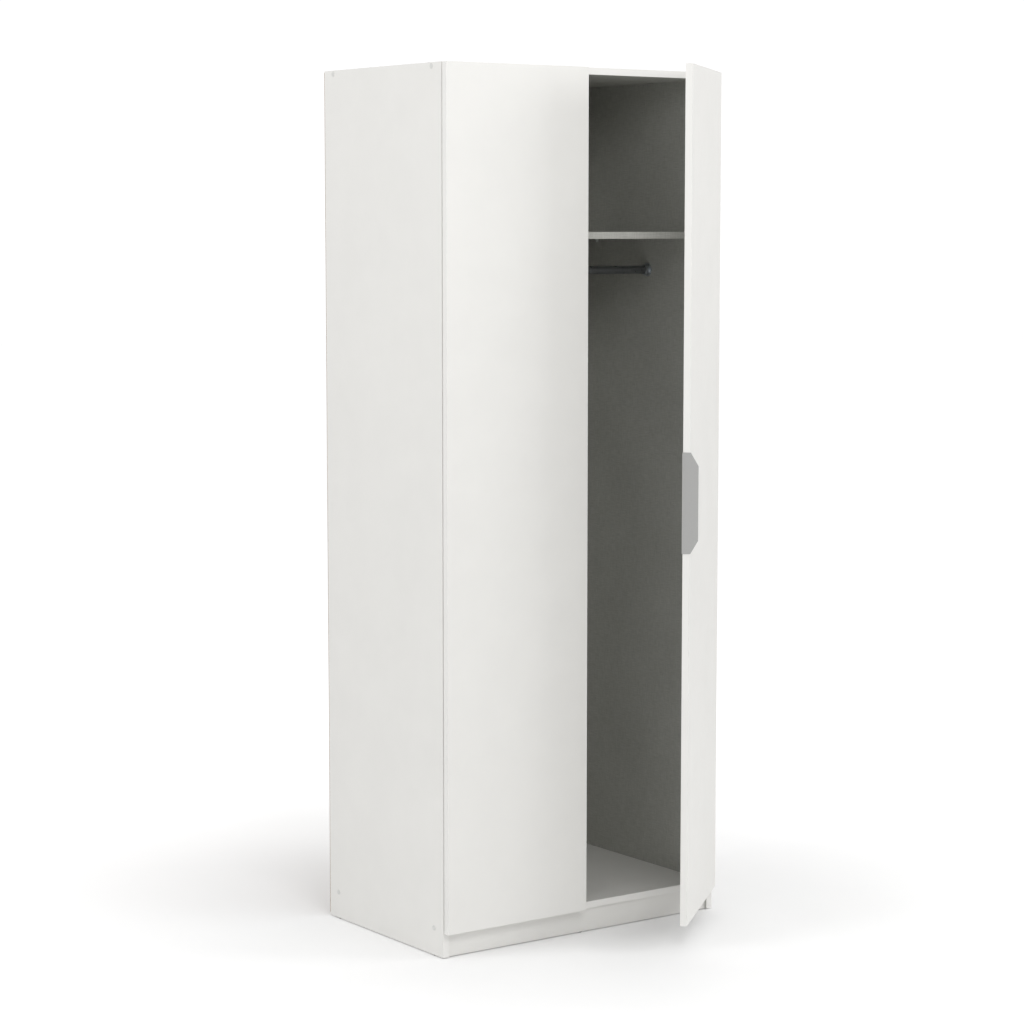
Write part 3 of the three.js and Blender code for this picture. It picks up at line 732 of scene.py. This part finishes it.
def add_door_buffers():
    """Clear domed pads that meet the edges of the top and the bottom board."""
    radius, thick, soft = BUFFER["radius"], BUFFER["thick"], BUFFER["dome"]
    dome = arc((radius - soft, thick - soft), soft, 10, 90)
    profile = [(0, 0), (radius, 0), (radius, BUFFER["straight"]), *dome, (0, thick)]
    for name in SIDES:
        low, high = door_box(name)
        mesh = bmesh.new()
        for board in ("top_panel", "bottom_panel"):
            lathe(mesh, profile, at((low.x + BUFFER["inset"], high.y, middle(board).z), "+Y"), 32)
        add_piece(f"door_buffers_{name}", mesh, CLEAR_PLASTIC, f"door_{name}", door_frame(name))


HANDLE_SHEET = 1.6 * MM
HANDLE_SCREW = {"inset": 15.6 * MM, "spacing": 76 * MM, "radius": 3.4 * MM, "height": 1.4 * MM}


def add_handle_screws():
    """Three heads on the handle's bent leg, behind the door."""
    low, high = door_box("right")
    centre = middle("handle").z
    x, y = low.x + HANDLE_SCREW["inset"], high.y + HANDLE_SHEET
    places = [at((x, y, centre + up * HANDLE_SCREW["spacing"]), "+Y") for up in (1, 0, -1)]
    add_screws("handle_screws", places, HANDLE_SCREW, ZINC, "door_right", door_frame("right"))


WALL_SCREW = {"back": 1 * MM, "below_top": 2 * MM, "radius": 3.8 * MM, "height": 1.6 * MM}


def add_wall_bracket_screws():
    centre, top = middle("wall_bracket_right"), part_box("wall_bracket_right")[1].z
    place = at((centre.x, centre.y + WALL_SCREW["back"], top - WALL_SCREW["below_top"]), "-Z")
    for name, side in SIDES.items():
        add_screws(f"wall_bracket_screw_{name}", [place], WALL_SCREW, ZINC, "carcass", mirror(side))


NAIL = {"radius": 2.3 * MM, "height": 0.6 * MM, "spacing": 150 * MM, "inset": 40 * MM}


def evenly(start, end, spacing):
    """Places from start to end, about a spacing apart."""
    count = max(round((end - start) / spacing), 1)
    return [start + (end - start) * i / count for i in range(count + 1)]


def add_back_nails():
    """Domed nails through the back sheets into the rear edges of the boards."""
    low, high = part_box("back_sheet_right")
    side_x = middle("side_panel_right").x
    inset, spacing, radius, height = NAIL["inset"], NAIL["spacing"], NAIL["radius"], NAIL["height"]
    spots = [(side_x, z) for z in evenly(low.z + inset, high.z - inset, spacing)]
    for board in ("top_panel", "bottom_panel"):
        spots += [(x, middle(board).z) for x in evenly(low.x + inset, side_x - inset, spacing)]
    profile = [(0, 0), (radius, 0), (0.85 * radius, 0.6 * height), (0, height)]
    for name, side in SIDES.items():
        mesh = bmesh.new()
        for x, z in spots:
            lathe(mesh, profile, at((x, high.y, z), "+Y"), 16)
        add_piece(f"back_nails_{name}", mesh, ZINC, "carcass", mirror(side))


# ---------- stage ----------
FLOOR_HALF = 30
ROOM_LIGHT, ROOM_SEEN = 0.58, 1.05    # strength of the white room, as a light and as the camera sees it
LIGHTS = {                            # place, target, side of its square, watts
    "key": ((-1.3, -3.0, 3.1), (-0.35, 0, 1.6), 1.4, 27),
    "right": ((3.0, -2.6, 2.4), (0.4, 0, 1.2), 1.8, 42),
    "left": ((-3.6, 0.4, 2.6), (-0.4, 0.2, 1.4), 1.8, 34.5),
    "top": ((0, -0.6, 4.6), (0, -0.6, 0), 4.5, 40),
    "front": ((0.6, -3.2, 3.4), (0.2, 0, 1.0), 1.6, 8.5),
}


def add_floor():
    mesh = bpy.data.meshes.new("floor")
    corners = [(x * FLOOR_HALF, y * FLOOR_HALF, 0) for x, y in ((-1, -1), (1, -1), (1, 1), (-1, 1))]
    mesh.from_pydata(corners, [], [(0, 1, 2, 3)])
    mesh.materials.append(floor_finish())
    floor = bpy.data.objects.new("floor", mesh)
    bpy.context.scene.collection.objects.link(floor)


def add_area_light(name, place, target, size, power):
    data = bpy.data.lights.new(name, "AREA")
    data.size = size
    data.energy = power
    light = bpy.data.objects.new(name, data)
    light.location = place
    light.rotation_euler = (Vector(target) - Vector(place)).to_track_quat("-Z", "Y").to_euler()
    bpy.context.scene.collection.objects.link(light)


def add_room():
    """A white room whose light on the wardrobe is softer than its own brightness in the picture."""
    world = bpy.data.worlds.new("studio")
    world.use_nodes = True
    tree = world.node_tree
    ray = tree.nodes.new("ShaderNodeLightPath")
    strength = tree.nodes.new("ShaderNodeMapRange")
    strength.inputs["To Min"].default_value = ROOM_LIGHT
    strength.inputs["To Max"].default_value = ROOM_SEEN
    tree.links.new(ray.outputs["Is Camera Ray"], strength.inputs["Value"])
    tree.links.new(strength.outputs["Result"], tree.nodes["Background"].inputs["Strength"])
    tree.nodes["Background"].inputs["Color"].default_value = (1, 1, 1, 1)
    bpy.context.scene.world = world
    bpy.context.scene.view_settings.view_transform = "Standard"


add_camera()
dress_cad_nodes()
add_corner_screws()
add_glides()
add_rail()
add_hinges()
add_door_buffers()
add_handle_screws()
add_wall_bracket_screws()
add_back_nails()
add_floor()
add_room()
for light_name, (place, target, size, power) in LIGHTS.items():
    add_area_light(light_name, place, target, size, power)
